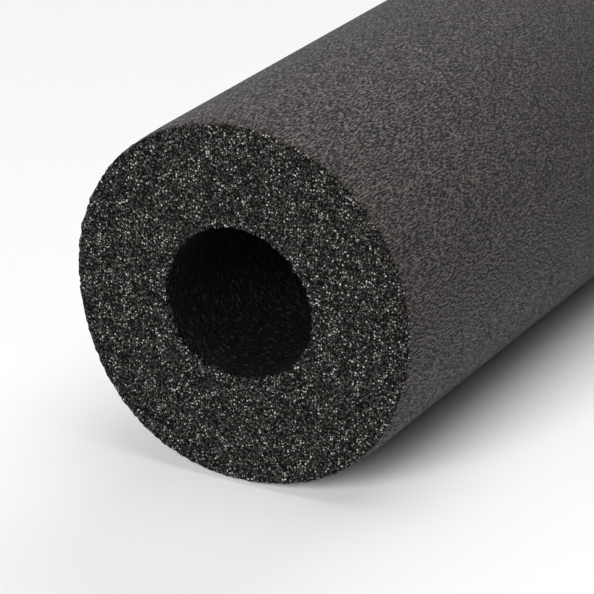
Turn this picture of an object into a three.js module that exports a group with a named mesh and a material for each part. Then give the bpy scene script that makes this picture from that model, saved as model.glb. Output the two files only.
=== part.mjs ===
// Pipe insulation lagging: one length of flexible, closed-cell nitrile rubber foam tube that is
// pushed over a heating or cooling pipe. It is extruded in one piece, so it is one solid: a thick
// round wall around a bore, cut off square at both ends. It lies on its side on a level floor.
//
// Units are millimetres. The tube's axis runs along Y, +Z is up, and the origin is on the floor
// under the middle of the tube. The cut end that faces a viewer in front is at -Y.

import * as THREE from "three";

// Driving dimensions

const pipeDiameter = 28; // outside diameter of the copper pipe that the tube is sold for
const boreClearance = 1; // how much wider than the pipe the bore is, so that the tube slides on
const wallThickness = 20; // foam between the bore and the outer skin
const tubeLength = 1000; // the length that a short piece of this stock is sold in
const lipRadius = 0.7; // the soft round that a knife leaves where the skin meets the cut end

// Fineness of the round shapes

const sidesRound = 72; // flat facets around the tube, an even number so that one corner is lowest
const stepsInLip = 3; // straight steps along each rounded lip

// Sizes that follow

const boreRadius = (pipeDiameter + boreClearance) / 2;
const outerRadius = boreRadius + wallThickness;
const halfLength = tubeLength / 2;
const lip = Math.min(lipRadius, wallThickness / 4, halfLength / 4);

// A quarter circle of the outer edge, from the angle given, with its centre that far along the axis.
function lipArc(along, fromAngle) {
  const across = outerRadius - lip;
  const arc = new THREE.EllipseCurve(across, along, lip, lip, fromAngle, fromAngle + Math.PI / 2);
  return arc.getPoints(stepsInLip);
}

// The wall's section in the plane of the axis: x is the distance from the axis, y lies along it.
// It runs out over the front end, along the skin and in over the back end, then down the bore.
function wallSection() {
  const frontOfBore = new THREE.Vector2(boreRadius, -halfLength);
  const backOfBore = new THREE.Vector2(boreRadius, halfLength);
  const frontLip = lipArc(lip - halfLength, -Math.PI / 2);
  const backLip = lipArc(halfLength - lip, 0);
  return [frontOfBore, ...frontLip, ...backLip, backOfBore, frontOfBore];
}

// The whole tube, turned around its own axis and lifted until it rests on the floor.
function foamTube() {
  const wall = new THREE.LatheGeometry(wallSection(), sidesRound);
  const nitrileFoam = new THREE.MeshStandardMaterial({
    color: 0x3d3b3d,
    roughness: 0.78,
    metalness: 0,
  });
  const tube = new THREE.Mesh(wall, nitrileFoam);
  tube.name = "foam_tube";
  tube.position.set(0, 0, outerRadius);
  return tube;
}

const lagging = new THREE.Group();
lagging.add(foamTube());

export default lagging;
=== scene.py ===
"""Pipe insulation lagging: one length of closed-cell nitrile rubber foam tube, and its stage.

The tube is extruded in one piece and cut off square with a knife. Its skin is charcoal and finely
creased, its cut ends show the opened cells, and its bore is close to black. It is modelled as the
wall's section, which is drawn from point to point and turned around the tube's axis.

Lengths are in metres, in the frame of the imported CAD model: the axis runs along Y, +Z is up, and
the cut end that faces the camera is at -Y.
"""

import math

import bpy
import numpy as np
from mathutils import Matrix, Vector


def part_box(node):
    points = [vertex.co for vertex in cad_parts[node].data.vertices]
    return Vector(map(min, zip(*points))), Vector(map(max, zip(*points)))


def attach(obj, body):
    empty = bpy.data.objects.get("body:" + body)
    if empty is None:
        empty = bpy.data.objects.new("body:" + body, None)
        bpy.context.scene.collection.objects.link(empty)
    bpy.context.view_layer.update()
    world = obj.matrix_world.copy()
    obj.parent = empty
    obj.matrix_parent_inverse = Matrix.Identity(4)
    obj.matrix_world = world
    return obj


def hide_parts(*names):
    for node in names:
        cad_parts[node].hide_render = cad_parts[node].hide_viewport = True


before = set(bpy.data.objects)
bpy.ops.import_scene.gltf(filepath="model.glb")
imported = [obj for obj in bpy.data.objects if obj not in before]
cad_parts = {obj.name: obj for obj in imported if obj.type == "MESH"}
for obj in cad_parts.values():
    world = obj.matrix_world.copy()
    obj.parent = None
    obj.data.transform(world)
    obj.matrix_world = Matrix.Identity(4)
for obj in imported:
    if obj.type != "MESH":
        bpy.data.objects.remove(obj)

bl_info = {
    "name": "Pipe insulation lagging",
    "version": (1, 0, 0),
    "blender": (4, 5, 0),
    "location": "3D View > Sidebar > Lagging",
    "description": "Models a length of foam pipe insulation and a plain stage for it",
    "category": "Add Mesh",
}

MM = 0.001

# The tube's place and outer size come from the CAD solid
LOW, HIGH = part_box("foam_tube")
OUTER_RADIUS = (HIGH.x - LOW.x) / 2
AXIS_HEIGHT = (HIGH.z + LOW.z) / 2
FRONT, BACK = LOW.y, HIGH.y


def linear(value):
    """One channel of an sRGB colour, from 0 to 1, as linear light."""
    return value / 12.92 if value <= 0.04045 else ((value + 0.055) / 1.055) ** 2.4


def colour(hex_code):
    """An sRGB hex colour as linear red, green and blue."""
    return tuple(linear(int(hex_code[i : i + 2], 16) / 255) for i in (1, 3, 5))


def rgba(rgb):
    """Red, green and blue with an alpha of 1, as the colour sockets take them."""
    return (*rgb, 1.0)


# Settings that a user would change


class LaggingShape(bpy.types.PropertyGroup):
    """Sizes of the foam tube that the CAD box doesn't give."""

    bore_diameter: bpy.props.FloatProperty(
        name="Bore", description="Diameter of the bore, 28 mm pipe and 1 mm to slide on",
        default=29 * MM, min=5 * MM, subtype="DISTANCE", unit="LENGTH",
    )
    lip: bpy.props.FloatProperty(
        name="Lip", description="Radius of the soft round where the skin meets a cut end",
        default=0.45 * MM, min=0.1 * MM, subtype="DISTANCE", unit="LENGTH",
    )
    pinch: bpy.props.FloatProperty(
        name="Pinch", description="How far the knife drew the skin in around a cut end",
        default=0.55 * MM, min=0.0, subtype="DISTANCE", unit="LENGTH",
    )
    relief: bpy.props.FloatProperty(
        name="Relief", description="Depth of the coarse unevenness of a cut end",
        default=0.45 * MM, min=0.0, subtype="DISTANCE", unit="LENGTH",
    )
    ragged: bpy.props.FloatProperty(
        name="Ragged edge", description="How far torn cells move the edge of a cut end",
        default=0.9 * MM, min=0.0, subtype="DISTANCE", unit="LENGTH",
    )


class LaggingFinish(bpy.types.PropertyGroup):
    """Colours of the rubber foam, among them the painted shade of the creases, the cells' hollows and the
    bore, and the painted glint on the cut cells.
    """

    skin: bpy.props.FloatVectorProperty(
        name="Skin", description="Colour of the extruded skin",
        size=3, subtype="COLOR", min=0.0, max=1.0, default=colour("#201c1b"),
    )
    # Painted shade: the creases are coloured dark as if they lay in shade
    crease_shade: bpy.props.FloatVectorProperty(
        name="Crease", description="Colour in the fine creases of the skin",
        size=3, subtype="COLOR", min=0.0, max=1.0, default=colour("#030303"),
    )
    ridge: bpy.props.FloatVectorProperty(
        name="Ridge", description="Colour of the skin between the creases",
        size=3, subtype="COLOR", min=0.0, max=1.0, default=colour("#534b47"),
    )
    wall: bpy.props.FloatVectorProperty(
        name="Cell wall", description="Colour of the cut cell walls",
        size=3, subtype="COLOR", min=0.0, max=1.0, default=colour("#575653"),
    )
    # Painted shade: the opened cells are coloured dark as if they lay in shade
    hollow_shade: bpy.props.FloatVectorProperty(
        name="Cell hollow", description="Colour in the opened cells",
        size=3, subtype="COLOR", min=0.0, max=1.0, default=colour("#080807"),
    )
    # Painted highlight: the tallest grains of a cut end are coloured pale as if they caught the light
    painted_glint: bpy.props.FloatVectorProperty(
        name="Glint", description="Colour of the few cell walls that face the light",
        size=3, subtype="COLOR", min=0.0, max=1.0, default=colour("#bab9b6"),
    )
    bore: bpy.props.FloatVectorProperty(
        name="Bore", description="Colour of the paler spots in the bore",
        size=3, subtype="COLOR", min=0.0, max=1.0, default=colour("#343332"),
    )


class LaggingStage(bpy.types.PropertyGroup):
    """Camera, lights and floor."""

    eye: bpy.props.FloatVectorProperty(
        name="Eye", description="Where the camera stands", size=3, subtype="TRANSLATION", unit="LENGTH",
        default=(261.7 * MM, -947.3 * MM, 252.2 * MM),
    )
    azimuth: bpy.props.FloatProperty(
        name="Azimuth", description="How far the view is turned from the tube's axis",
        default=math.radians(29.2), subtype="ANGLE", unit="ROTATION",
    )
    elevation: bpy.props.FloatProperty(
        name="Elevation", description="How far the camera looks down",
        default=math.radians(22.6), subtype="ANGLE", unit="ROTATION",
    )
    lens: bpy.props.FloatProperty(
        name="Lens", description="Focal length for a sensor 36 mm wide", default=193.3, unit="CAMERA",
    )
    floor: bpy.props.FloatVectorProperty(
        name="Floor", description="Colour of the pale floor",
        size=3, subtype="COLOR", min=0.0, max=1.0, default=colour("#f0f0f2"),
    )
    top_light: bpy.props.FloatProperty(
        name="Top light", description="Power of the soft light above the tube", default=23.0, unit="POWER",
    )
    front_light: bpy.props.FloatProperty(
        name="Front light", description="Power of the soft light in front of the cut end", default=98.0,
        unit="POWER",
    )
    back_light: bpy.props.FloatProperty(
        name="Back light", description="Power of the soft light behind the tube", default=25.5, unit="POWER",
    )


# Fineness of the mesh

SIDES = 672  # columns around the tube, a third of a millimetre apart at the rim
FACE_ROWS = 72  # rows across the wall on the cut end that faces the camera
FAR_FACE_ROWS = 18  # rows across the wall on the other cut end
LIP_ROWS = 4  # rows over each rounded lip
SKIN_STEPS = (0.3 * MM, 0.7 * MM, 1.2 * MM, 2 * MM, 4 * MM, 8 * MM)  # rows of the skin behind a lip
PLAIN_ROWS = 8  # rows over the long plain stretch of the skin
MOUTH_STEPS = (2 * MM, 1 * MM, 0.3 * MM)  # rows of the bore just behind the front cut end
SEEN_DEPTH = 42 * MM  # how far into the bore the camera sees
SEEN_ROWS = 10  # rows over that stretch, up to its mouth
UNSEEN_ROWS = 3  # rows over the rest of the bore
SAME_POINT = 0.01 * MM  # vertices closer than this are one
IN_PLANE = 0.001 * MM  # a face whose middle is closer than this to a cut end's plane lies in it

# Out of round: share of the radius, waves around the tube, and the angle of a crest in degrees,
# from +X towards +Z. The soft tube sags and was cut by hand, so neither outline is a true circle

OUTER_WAVES = ((0.01, 1, 90.0), (0.0042, 3, 4.0), (0.0065, 4, -40.0), (0.0025, 5, 20.0))
BORE_WAVES = ((0.025, 2, 6.0), (0.014, 3, -18.0))
BORE_SHIFT = (-0.31 * MM, 0.82 * MM)  # the bore sits off the middle, along X and Z
PINCH_REACH = 3 * MM  # how soon the skin swells back to its full size behind a cut end
LASTING = 0.5  # share of the skin's waves that is left away from the cut ends

# Torn cells at the cut ends

CLUMP = 0.9 * MM  # width of the clumps of cells that stand up from a cut end
TEAR_X, TEAR_Z = 0.95 * MM, 0.9 * MM  # width of the tears that move an edge along X and along Z
RIM_DEPTH = 1.2 * MM  # how far the tears of the outer edge reach along the skin
RIM_WHOLE, RIM_WIDTH = 0.5 * MM, 2.5 * MM  # where they start to fade over the cut end, and are gone
MOUTH_REACH = 1.5 * MM  # how far the tears of the bore's edge reach, along the bore and over the cut end
RIM_CUT, MOUTH_CUT = 0.12 * MM, 0.2 * MM  # how far behind the cut cells show, at the rim and in the bore

# Room on the baked image, in shares of it: a strip as left, low, width and height, and a disc as
# the two places of its middle and its radius

SKIN_STRIP = (0.006, 0.006, 0.988, 0.54)
BORE_STRIP = (0.752, 0.562, 0.24, 0.432)
FRONT_DISC = (0.223, 0.777, 0.216)
BACK_DISC = (0.596, 0.71, 0.148)

# Sizes and finishes of the rubber foam

RUBBER_IOR = 1.5
NOISE_LOW, NOISE_HIGH = 0.3, 0.7  # nearly all of a noise lies between these
CELL, SMALL_CELL = 0.52 * MM, 0.31 * MM  # widths of the two sizes of cell
GRAIN_TOP, GRAIN_FOOT = 0.1, 0.62  # where a grain starts and stops falling off, in widths from its middle
CELL_DEPTH = 0.2 * MM
CELL_SHADE = colour("#302f2d")  # between the hollows and the walls
FACE_MOTTLING = 2.5 * MM  # width of the paler and darker patches of a cut end
CREASE_NOISE = (0.2 * MM, 1.0 * MM, 0.2 * MM)  # size of the creases' noise along X, Y and Z
CREASE_DEPTH = 0.3 * MM
CREASE_FADE = 100 * MM  # length behind a cut end over which the creases lose most of their contrast
PLAIN_CONTRAST, END_CONTRAST = 0.35, 1.25  # of the creases, past that length and at a cut end
# Painted shade under each ridge: the creases' noise, read again this far higher, darkens the skin just below
# it
PAINTED_SHADE_OFFSET = (0.0, 0.0, 2.0)  # how far off the noise is read again, in its own sizes
CREASE_LEVEL, RIDGE_LEVEL = 0.35, 0.65  # at and past these heights, all is crease or all is ridge
CREASE_ROUGHNESS, RIDGE_ROUGHNESS = 0.9, 0.38
SKIN_MOTTLING = 6 * MM  # width of the paler and darker patches of the skin
BORE_NOISE = (0.9 * MM, 0.8 * MM, 0.9 * MM)  # size of the bore's folds along X, Y and Z
BORE_DEPTH = 0.5 * MM
# Painted shade: the bore's dark colours stand for the shade deep inside it, far darker than the skin's rubber
BORE_PAINTED_SHADE, BORE_FOLD = colour("#040404"), colour("#0c0c0c")

# Stage

FLOOR_SIZE = 30.0
LIGHT_DISTANCE = 2.5  # far enough to light the floor around the tube evenly
ROOM = colour("#f4f5f7")  # what gloss and the camera see past the floor
ROOM_STRENGTH = 0.7
SENSOR_WIDTH = 36.0  # in millimetres, as the camera takes it
NEAREST, FURTHEST = 0.01, 100.0  # what the camera sees lies between these


# Nodes

MIX_A, MIX_B, MIX_RESULT = 6, 7, 2  # the colour sockets of a Mix node, whose names aren't unique


def add_node(tree, kind, inputs=None, stops=None, **settings):
    """Adds a shader node with its settings, its ramp's colour stops and its input values or links."""
    node = tree.nodes.new("ShaderNode" + kind)
    for name, value in settings.items():
        setattr(node, name, value)
    if stops:
        ramp = node.color_ramp.elements
        while len(ramp) < len(stops):
            ramp.new(0.5)
        for element, (place, value) in zip(ramp, stops):
            element.position = place
            element.color = rgba(value)
    for socket, value in (inputs or {}).items():
        if isinstance(value, bpy.types.NodeSocket):
            tree.links.new(value, node.inputs[socket])
        else:
            node.inputs[socket].default_value = value
    return node


def new_material(name):
    """An empty node material and its output node."""
    material = bpy.data.materials.new(name)
    material.use_nodes = True
    material.node_tree.nodes.clear()
    return material, add_node(material.node_tree, "OutputMaterial")


def per_metre(sizes):
    """How often a pattern of those sizes repeats in a metre, for a Mapping node's scale."""
    return tuple(1 / size for size in sizes)


# Materials


def grains(tree, place, width):
    """Rounded grains of that width: how high each point stands, with a height of its own for each."""
    cells = add_node(tree, "TexVoronoi", {"Vector": place, "Scale": 1 / width}, feature="F1")
    dome = add_node(
        tree, "MapRange",
        {
            "Value": cells.outputs["Distance"],
            "From Min": GRAIN_TOP,
            "From Max": GRAIN_FOOT,
            "To Min": 1.0,
            "To Max": 0.0,
        },
    ).outputs[0]
    lot = add_node(tree, "SeparateColor", {"Color": cells.outputs["Color"]}).outputs["Red"]
    return add_node(tree, "Math", {0: dome, 1: lot}, operation="MULTIPLY").outputs[0]


def mottling(tree, place, width, darkest, palest):
    """Soft patches of that width, as a share to multiply a shade or a colour by."""
    cloud = add_node(tree, "TexNoise", {"Vector": place, "Scale": 1 / width, "Detail": 2.0})
    return add_node(
        tree, "MapRange",
        {
            "Value": cloud.outputs["Fac"],
            "From Min": NOISE_LOW,
            "From Max": NOISE_HIGH,
            "To Min": darkest,
            "To Max": palest,
        },
    ).outputs[0]


def cut_cells(finish):
    """Knife-cut closed-cell nitrile foam: opened cells half a millimetre wide. Their walls stand up
    as grey grains that are painted paler with their height: the hollows carry painted shade, and the
    tallest grains a painted glint."""
    material, output = new_material("closed_cell_nitrile_foam_knife_cut")
    tree = material.node_tree
    place = add_node(tree, "TexCoord").outputs["Object"]
    coarse = grains(tree, place, CELL)
    fine = grains(tree, place, SMALL_CELL)
    height = add_node(tree, "Math", {0: coarse, 1: fine}, operation="ADD").outputs[0]
    mottled = mottling(tree, place, FACE_MOTTLING, 0.6, 1.2)
    shade = add_node(tree, "Math", {0: height, 1: mottled}, operation="MULTIPLY")
    # The ramp paints light by the grains' height: painted shade in the hollows, grey walls, and a painted
    # glint on the tallest
    tone = add_node(
        tree, "ValToRGB", {"Fac": shade.outputs[0]},
        stops=((0.06, finish.hollow_shade), (0.35, CELL_SHADE), (0.7, finish.wall), (1.0, finish.painted_glint)),
    ).outputs["Color"]
    bump = add_node(tree, "Bump", {"Strength": 1.0, "Distance": CELL_DEPTH, "Height": height})
    shader = add_node(
        tree, "BsdfPrincipled",
        {
            "Base Color": tone,
            "Roughness": 0.8,
            "IOR": RUBBER_IOR,
            "Specular IOR Level": 0.02,
            "Normal": bump.outputs["Normal"],
        },
    )
    tree.links.new(shader.outputs["BSDF"], output.inputs["Surface"])
    return material


def skin(finish):
    """Extruded nitrile rubber skin: matt, with fine creases drawn out along the tube, about 0.5 mm
    apart and 2 mm long, so it looks like dull charcoal leather. The creases carry a painted shade, and
    so does the skin just below each ridge. Their relief is the same all along, and their colour and
    gloss stand out most at the cut ends."""
    material, output = new_material("closed_cell_nitrile_foam_extruded_skin")
    tree = material.node_tree
    place = add_node(tree, "TexCoord").outputs["Object"]
    drawn = add_node(tree, "Mapping", {"Vector": place, "Scale": per_metre(CREASE_NOISE)}).outputs["Vector"]
    place_above = add_node(tree, "VectorMath", {0: drawn, 1: PAINTED_SHADE_OFFSET}, operation="ADD").outputs[0]
    wrinkle = add_node(tree, "TexNoise", {"Vector": drawn, "Scale": 1.0, "Detail": 0.0}).outputs["Fac"]
    fold = add_node(tree, "TexNoise", {"Vector": place_above, "Scale": 1.0, "Detail": 0.0}).outputs["Fac"]

    # Half of the noise read 0.4 mm higher is taken away, which leaves a value that is evenly spread around 0:
    # a painted shade just below each ridge, as if lit from above
    less = add_node(tree, "MapRange", {"Value": fold, "To Min": 0.25, "To Max": 0.75}).outputs[0]
    uneven = add_node(tree, "Math", {0: wrinkle, 1: less}, operation="SUBTRACT").outputs[0]
    along = add_node(tree, "SeparateXYZ", {"Vector": place}).outputs["Y"]
    from_middle = add_node(tree, "Math", {0: along}, operation="ABSOLUTE").outputs[0]
    contrast = add_node(
        tree, "MapRange",
        {
            "Value": from_middle,
            "From Min": BACK - CREASE_FADE,
            "From Max": BACK,
            "To Min": PLAIN_CONTRAST,
            "To Max": END_CONTRAST,
        },
    ).outputs[0]
    crest = add_node(tree, "Math", {0: uneven, 1: contrast, 2: 0.5}, operation="MULTIPLY_ADD").outputs[0]
    # The ramp paints the creases dark as painted shade, with the skin and the paler ridges between them
    tone = add_node(
        tree, "ValToRGB", {"Fac": crest},
        stops=((0.22, finish.crease_shade), (0.5, finish.skin), (0.78, finish.ridge)),
    ).outputs["Color"]
    mottled = mottling(tree, place, SKIN_MOTTLING, 0.88, 1.12)
    toned = add_node(
        tree, "Mix", {"Factor": 1.0, MIX_A: tone, MIX_B: mottled}, data_type="RGBA", blend_type="MULTIPLY",
    ).outputs[MIX_RESULT]
    dull = add_node(
        tree, "MapRange",
        {
            "Value": crest,
            "From Min": CREASE_LEVEL,
            "From Max": RIDGE_LEVEL,
            "To Min": CREASE_ROUGHNESS,
            "To Max": RIDGE_ROUGHNESS,
        },
    ).outputs[0]
    bump = add_node(tree, "Bump", {"Strength": 1.0, "Distance": CREASE_DEPTH, "Height": wrinkle})
    shader = add_node(
        tree, "BsdfPrincipled",
        {
            "Base Color": toned,
            "Roughness": dull,
            "IOR": RUBBER_IOR,
            "Specular IOR Level": 0.26,
            "Normal": bump.outputs["Normal"],
        },
    )
    tree.links.new(shader.outputs["BSDF"], output.inputs["Surface"])
    return material


def bore_wall(finish):
    """Wall of the bore, which the mandrel left smoother than the skin, with soft folds and a few paler
    spots. It is painted near black, much darker than the skin's rubber, as the shade inside the bore."""
    material, output = new_material("closed_cell_nitrile_foam_bore_wall")
    tree = material.node_tree
    place = add_node(tree, "TexCoord").outputs["Object"]
    drawn = add_node(tree, "Mapping", {"Vector": place, "Scale": per_metre(BORE_NOISE)}).outputs["Vector"]
    fold = add_node(
        tree, "TexNoise", {"Vector": drawn, "Scale": 1.0, "Detail": 3.0, "Roughness": 0.55},
    ).outputs["Fac"]
    tone = add_node(
        tree, "ValToRGB", {"Fac": fold},
        stops=((0.42, BORE_PAINTED_SHADE), (0.58, BORE_FOLD), (0.72, finish.bore)),
    ).outputs["Color"]
    bump = add_node(tree, "Bump", {"Strength": 1.0, "Distance": BORE_DEPTH, "Height": fold})
    shader = add_node(
        tree, "BsdfPrincipled",
        {
            "Base Color": tone,
            "Roughness": 0.5,
            "IOR": RUBBER_IOR,
            "Specular IOR Level": 0.3,
            "Normal": bump.outputs["Normal"],
        },
    )
    tree.links.new(shader.outputs["BSDF"], output.inputs["Surface"])
    return material


def pale_floor(rgb):
    """Matt white paper sweep, which gives soft light back to the underside of the tube."""
    material, output = new_material("matt_white_paper")
    tree = material.node_tree
    shader = add_node(
        tree, "BsdfPrincipled", {"Base Color": rgba(rgb), "Roughness": 0.9, "Specular IOR Level": 0.2},
    )
    tree.links.new(shader.outputs["BSDF"], output.inputs["Surface"])
    return material


# Modelling


def deselect_everything():
    """Leaves nothing selected, the CAD solid included."""
    for thing in bpy.context.selected_objects:
        thing.select_set(False)


def spread(start, end, steps):
    """Even places after start, up to and with end."""
    return [start + (end - start) * i / steps for i in range(1, steps + 1)]


def section_points(shape):
    """The wall's section as (distance from the axis, place along it), out over the front cut end,
    along the skin, in over the back cut end and along the bore."""
    bore, lip = shape.bore_diameter / 2, shape.lip
    rim = OUTER_RADIUS - lip
    quarter = [math.radians(90 * i / LIP_ROWS) for i in range(1, LIP_ROWS + 1)]
    skin_start, skin_end = FRONT + lip, BACK - lip
    last_step = SKIN_STEPS[-1]
    points = [(bore, FRONT)]
    points += [(r, FRONT) for r in spread(bore, rim, FACE_ROWS)]
    points += [(rim + lip * math.sin(a), FRONT + lip * (1 - math.cos(a))) for a in quarter]
    points += [(OUTER_RADIUS, skin_start + step) for step in SKIN_STEPS]
    points += [(OUTER_RADIUS, y) for y in spread(skin_start + last_step, skin_end - last_step, PLAIN_ROWS)]
    points += [(OUTER_RADIUS, skin_end - step) for step in reversed(SKIN_STEPS[:-1])]
    points += [(OUTER_RADIUS, skin_end)]
    points += [(rim + lip * math.cos(a), BACK - lip * (1 - math.sin(a))) for a in quarter]
    points += [(r, BACK) for r in spread(rim, bore, FAR_FACE_ROWS)]
    points += [(bore, y) for y in spread(BACK, FRONT + SEEN_DEPTH, UNSEEN_ROWS)]
    points += [(bore, y) for y in spread(FRONT + SEEN_DEPTH, FRONT + MOUTH_STEPS[0], SEEN_ROWS)]
    points += [(bore, FRONT + step) for step in MOUTH_STEPS[1:]]
    return points


def draw_section(points):
    """Draws the closed outline above the axis, by extruding a vertex from point to point."""
    bpy.ops.mesh.primitive_plane_add(size=MM, location=(0, 0, AXIS_HEIGHT))
    tube = bpy.context.object
    bpy.ops.object.mode_set(mode="EDIT")
    bpy.ops.mesh.merge(type="CENTER")
    before = Vector((0, 0, 0))
    for distance, along in points:
        here = Vector((0, along, distance))
        if before.length:
            bpy.ops.mesh.extrude_region_move(TRANSFORM_OT_translate={"value": here - before})
        else:
            bpy.ops.transform.translate(value=here)
        before = here
    bpy.ops.object.mode_set(mode="OBJECT")
    for vertex in tube.data.vertices:
        vertex.select = vertex.index in (0, len(points) - 1)
    bpy.ops.object.mode_set(mode="EDIT")
    bpy.ops.mesh.edge_face_add()
    bpy.ops.object.mode_set(mode="OBJECT")
    return tube


def turn_section(tube):
    """Turns the section all the way around the tube's axis."""
    turned = tube.modifiers.new("turned", "SCREW")
    turned.axis = "Y"
    turned.angle = math.tau
    turned.steps = turned.render_steps = SIDES
    turned.use_merge_vertices = True
    turned.merge_threshold = SAME_POINT
    turned.use_normal_flip = True
    bpy.ops.object.modifier_apply(modifier=turned.name)
    bpy.ops.object.transform_apply(location=True, rotation=False, scale=False)


def coordinates(mesh):
    """The mesh's vertices as rows of x, y and z."""
    co = np.empty(len(mesh.vertices) * 3)
    mesh.vertices.foreach_get("co", co)
    return co.reshape(-1, 3)


def lay_out_bake(mesh, bore, lip):
    """A UV map for baking: the skin as a strip, both cut ends as discs and the bore as a strip. The
    cut end that faces the camera gets the most room for its size."""
    layer = mesh.uv_layers.new(name="OFBake")
    corners, faces = len(mesh.loops), len(mesh.polygons)
    vertex_of = np.empty(corners, int)
    mesh.loops.foreach_get("vertex_index", vertex_of)
    face_of = np.repeat(np.arange(faces), corners // faces)  # every face has four corners
    centre = np.empty(faces * 3)
    mesh.polygons.foreach_get("center", centre)
    centre = centre.reshape(-1, 3)[face_of]
    co = coordinates(mesh)[vertex_of]
    x, y, z = co[:, 0], co[:, 1], co[:, 2] - AXIS_HEIGHT
    radius = np.hypot(x, z)

    # A corner's turn is counted from its face's middle, so that no face spans the strip's two ends
    middle = np.arctan2(centre[:, 2] - AXIS_HEIGHT, centre[:, 0])
    turn = middle + (np.arctan2(z, x) - middle + math.pi) % math.tau - math.pi
    around = 0.5 + turn / math.tau

    centre_radius = np.hypot(centre[:, 0], centre[:, 2] - AXIS_HEIGHT)
    near_end = np.minimum(centre[:, 1] - FRONT, BACK - centre[:, 1])
    on_cut = (near_end < IN_PLANE) & (centre_radius < OUTER_RADIUS - lip)
    on_skin = ~on_cut & (centre_radius > (bore + OUTER_RADIUS) / 2)
    drawn_in = np.where(on_skin, OUTER_RADIUS - radius, 0.0)
    along = (y + np.where(y < 0, -drawn_in, drawn_in) - FRONT + lip) / (BACK - FRONT + 2 * lip)

    left, low, width, height = SKIN_STRIP
    skin_u, skin_v = left + width * along, low + height * around
    left, low, width, height = BORE_STRIP
    bore_u, bore_v = left + width * around, low + height * along
    u = np.where(on_skin, skin_u, bore_u)
    v = np.where(on_skin, skin_v, bore_v)
    for here, (middle_u, middle_v, reach) in ((y < 0, FRONT_DISC), (y > 0, BACK_DISC)):
        u = np.where(on_cut & here, middle_u + reach * x / OUTER_RADIUS, u)
        v = np.where(on_cut & here, middle_v + reach * z / OUTER_RADIUS, v)
    layer.data.foreach_set("uv", np.column_stack((u, v)).ravel())


def waves(angle, terms):
    """How far out of round an outline is at each angle, as a share of its radius."""
    return sum(share * np.cos(count * (angle - math.radians(crest))) for share, count, crest in terms)


def ease_out_of_round(mesh, bore, pinch):
    """Moves skin and bore to their own outlines, and what lies between them by its share. The skin
    is drawn in at the cut ends, and is less out of round away from them."""
    co = coordinates(mesh)
    x, z = co[:, 0], co[:, 2] - AXIS_HEIGHT
    radius, angle = np.hypot(x, z), np.arctan2(z, x)
    share = np.clip((radius - bore) / (OUTER_RADIUS - bore), 0, 1)
    from_end = np.maximum(np.minimum(co[:, 1] - FRONT, BACK - co[:, 1]), 0)
    near = np.exp(-from_end / PINCH_REACH)
    held = LASTING + (1 - LASTING) * near
    out = share * held * OUTER_RADIUS * waves(angle, OUTER_WAVES)
    out -= share * pinch * near
    out += (1 - share) * bore * waves(angle, BORE_WAVES)
    co[:, 0] += out * np.cos(angle) + (1 - share) * BORE_SHIFT[0]
    co[:, 2] += out * np.sin(angle) + (1 - share) * BORE_SHIFT[1]
    mesh.vertices.foreach_set("co", co.ravel())


def group(tube, name, weights):
    """A vertex group with a weight for each vertex, to the nearest hundredth."""
    made = tube.vertex_groups.new(name=name)
    for level in np.unique(np.round(weights, 2)):
        if level > 0:
            members = np.nonzero(np.abs(weights - level) <= 0.005)[0]
            made.add(members.tolist(), float(level), "REPLACE")


def displace(tube, name, kind, size, strength, direction, vertex_group, **settings):
    """Moves a group of vertices by a pattern of that size, and applies it."""
    pattern = bpy.data.textures.new(name, kind)
    pattern.noise_scale = size
    for key, value in settings.items():
        setattr(pattern, key, value)
    modifier = tube.modifiers.new(name, "DISPLACE")
    modifier.texture = pattern
    modifier.texture_coords = "LOCAL"
    modifier.direction = direction
    modifier.strength = strength
    modifier.mid_level = 0.5
    modifier.vertex_group = vertex_group
    bpy.ops.object.modifier_apply(modifier=name)
    bpy.data.textures.remove(pattern)


def fade(distance, reach):
    """1 at no distance, falling evenly to 0 at the reach and past it."""
    return np.clip(1 - distance / reach, 0, 1)


def roughen(tube, shape):
    """Uneven cut ends and a ragged edge around them."""
    co = coordinates(tube.data)
    bore = shape.bore_diameter / 2
    radius = np.hypot(co[:, 0], co[:, 2] - AXIS_HEIGHT)
    from_end = np.minimum(co[:, 1] - FRONT, BACK - co[:, 1])
    from_skin = OUTER_RADIUS - radius
    cut = fade(from_end, shape.lip) * np.clip(from_skin / (2 * shape.lip), 0, 1)
    rim = fade(from_end, RIM_DEPTH) * fade(from_skin - RIM_WHOLE, RIM_WIDTH - RIM_WHOLE)
    mouth = fade(from_end, MOUTH_REACH) * fade(radius - bore, MOUTH_REACH)
    group(tube, "cut_ends", cut)
    group(tube, "edges", np.maximum(rim, mouth))
    displace(tube, "opened_cells", "VORONOI", CLUMP, shape.relief, "Y", "cut_ends")
    displace(tube, "torn_x", "CLOUDS", TEAR_X, shape.ragged, "X", "edges", noise_depth=1)
    displace(tube, "torn_z", "CLOUDS", TEAR_Z, shape.ragged, "Z", "edges", noise_depth=1)


def paint(tube, bore, skin_finish, cut_finish, bore_finish):
    """Gives skin, cut ends and bore their materials, by where each face lies."""
    for material in (skin_finish, cut_finish, bore_finish):
        tube.data.materials.append(material)
    for face in tube.data.polygons:
        centre = face.center
        radius = math.hypot(centre.x, centre.z - AXIS_HEIGHT)
        from_end = min(centre.y - FRONT, BACK - centre.y)
        if from_end < (RIM_CUT if bore < radius else MOUTH_CUT):
            face.material_index = 1
        elif radius < (bore + OUTER_RADIUS) / 2:
            face.material_index = 2
        else:
            face.material_index = 0


def stand_on_floor(tube):
    """Lowers or lifts the mesh until its lowest vertex is on the floor."""
    lowest = coordinates(tube.data)[:, 2].min()
    bpy.ops.object.mode_set(mode="EDIT")
    bpy.ops.mesh.select_all(action="SELECT")
    bpy.ops.transform.translate(value=(0, 0, LOW.z - lowest))
    bpy.ops.object.mode_set(mode="OBJECT")


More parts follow.
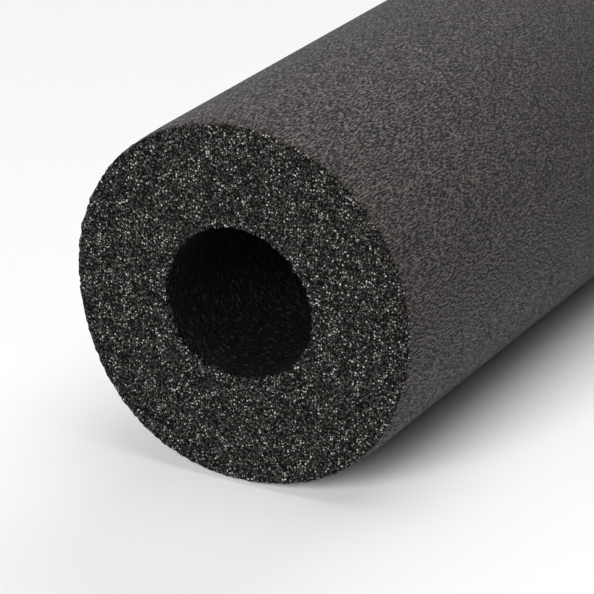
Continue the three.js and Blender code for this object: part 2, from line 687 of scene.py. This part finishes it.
class LAGGING_OT_foam_tube(bpy.types.Operator):
    """Models the foam tube from its section and gives it its finishes"""

    bl_idname = "lagging.foam_tube"
    bl_label = "Foam tube"

    def execute(self, context):
        shape, finish = context.scene.lagging_shape, context.scene.lagging_finish
        bore = shape.bore_diameter / 2
        deselect_everything()
        tube = draw_section(section_points(shape))
        tube.name = tube.data.name = "foam_tube_lagging"
        turn_section(tube)
        bpy.ops.object.shade_smooth()
        lay_out_bake(tube.data, bore, shape.lip)
        paint(tube, bore, skin(finish), cut_cells(finish), bore_wall(finish))
        ease_out_of_round(tube.data, bore, shape.pinch)
        roughen(tube, shape)
        stand_on_floor(tube)
        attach(tube, "root")
        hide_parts("foam_tube")
        return {"FINISHED"}


# Stage


def soft_light(name, towards, azimuth, elevation, width, height, power):
    """An oval soft light that looks at a point, from that direction in degrees."""
    across, up = math.radians(azimuth), math.radians(elevation)
    way = Vector((math.cos(across) * math.cos(up), math.sin(across) * math.cos(up), math.sin(up)))
    bpy.ops.object.light_add(type="AREA", location=towards + way * LIGHT_DISTANCE)
    light = bpy.context.object
    light.name = name
    light.rotation_euler = way.to_track_quat("Z", "Y").to_euler()
    light.data.shape = "ELLIPSE"
    light.data.size = width
    light.data.size_y = height
    light.data.energy = power
    light.visible_camera = False


def pale_room(scene):
    """A pale world that gloss and the camera see. It lights nothing diffusely, as the lights do that."""
    world = bpy.data.worlds.new("pale_room")
    world.use_nodes = True
    background = world.node_tree.nodes["Background"]
    background.inputs["Color"].default_value = rgba(ROOM)
    background.inputs["Strength"].default_value = ROOM_STRENGTH
    scene.world = world
    world.cycles_visibility.diffuse = False


def camera(scene, stage):
    """The camera at the photograph's viewing angle."""
    flat = math.cos(stage.elevation)
    forward = Vector(
        (-math.sin(stage.azimuth) * flat, math.cos(stage.azimuth) * flat, -math.sin(stage.elevation))
    )
    bpy.ops.object.camera_add(location=stage.eye, rotation=forward.to_track_quat("-Z", "Y").to_euler())
    scene.camera = bpy.context.object
    scene.camera.data.sensor_width = SENSOR_WIDTH
    scene.camera.data.lens = stage.lens
    scene.camera.data.clip_start = NEAREST
    scene.camera.data.clip_end = FURTHEST


class LAGGING_OT_stage(bpy.types.Operator):
    """Adds the pale floor, the soft lights and the camera"""

    bl_idname = "lagging.stage"
    bl_label = "Stage"

    def execute(self, context):
        stage = context.scene.lagging_stage
        deselect_everything()
        bpy.ops.mesh.primitive_plane_add(size=FLOOR_SIZE, location=(0, 0, LOW.z))
        floor = bpy.context.object
        floor.name = "floor"
        floor.data.materials.append(pale_floor(stage.floor))

        cut_end = Vector((0, FRONT, AXIS_HEIGHT))
        soft_light(
            "top_light", cut_end, azimuth=-8, elevation=80, width=2.2, height=2.2, power=stage.top_light,
        )
        soft_light(
            "front_light", cut_end, azimuth=-83, elevation=25, width=1.4, height=1.4, power=stage.front_light,
        )
        soft_light(
            "back_light", cut_end, azimuth=95, elevation=38, width=2.6, height=0.9, power=stage.back_light,
        )
        pale_room(context.scene)
        camera(context.scene, stage)
        context.scene.view_settings.view_transform = "Standard"
        return {"FINISHED"}


class LAGGING_PT_panel(bpy.types.Panel):
    """Lists the operators and the settings that they read"""

    bl_label = "Pipe insulation lagging"
    bl_idname = "LAGGING_PT_panel"
    bl_space_type = "VIEW_3D"
    bl_region_type = "UI"
    bl_category = "Lagging"

    def draw(self, context):
        layout = self.layout
        scene = context.scene
        for heading, operator, groups in (
            ("Foam tube", "lagging.foam_tube", (scene.lagging_shape, scene.lagging_finish)),
            ("Stage", "lagging.stage", (scene.lagging_stage,)),
        ):
            box = layout.box()
            box.operator(operator, text=heading)
            for settings in groups:
                for name in settings.bl_rna.properties.keys():
                    if name not in ("rna_type", "name"):
                        box.prop(settings, name)


CLASSES = (
    LaggingShape,
    LaggingFinish,
    LaggingStage,
    LAGGING_OT_foam_tube,
    LAGGING_OT_stage,
    LAGGING_PT_panel,
)


def register():
    for cls in CLASSES:
        bpy.utils.register_class(cls)
    bpy.types.Scene.lagging_shape = bpy.props.PointerProperty(type=LaggingShape)
    bpy.types.Scene.lagging_finish = bpy.props.PointerProperty(type=LaggingFinish)
    bpy.types.Scene.lagging_stage = bpy.props.PointerProperty(type=LaggingStage)


def unregister():
    del bpy.types.Scene.lagging_stage
    del bpy.types.Scene.lagging_finish
    del bpy.types.Scene.lagging_shape
    for cls in reversed(CLASSES):
        bpy.utils.unregister_class(cls)


def main():
    register()
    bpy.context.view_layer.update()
    bpy.ops.lagging.foam_tube()
    bpy.ops.lagging.stage()


if __name__ == "__main__":
    main()
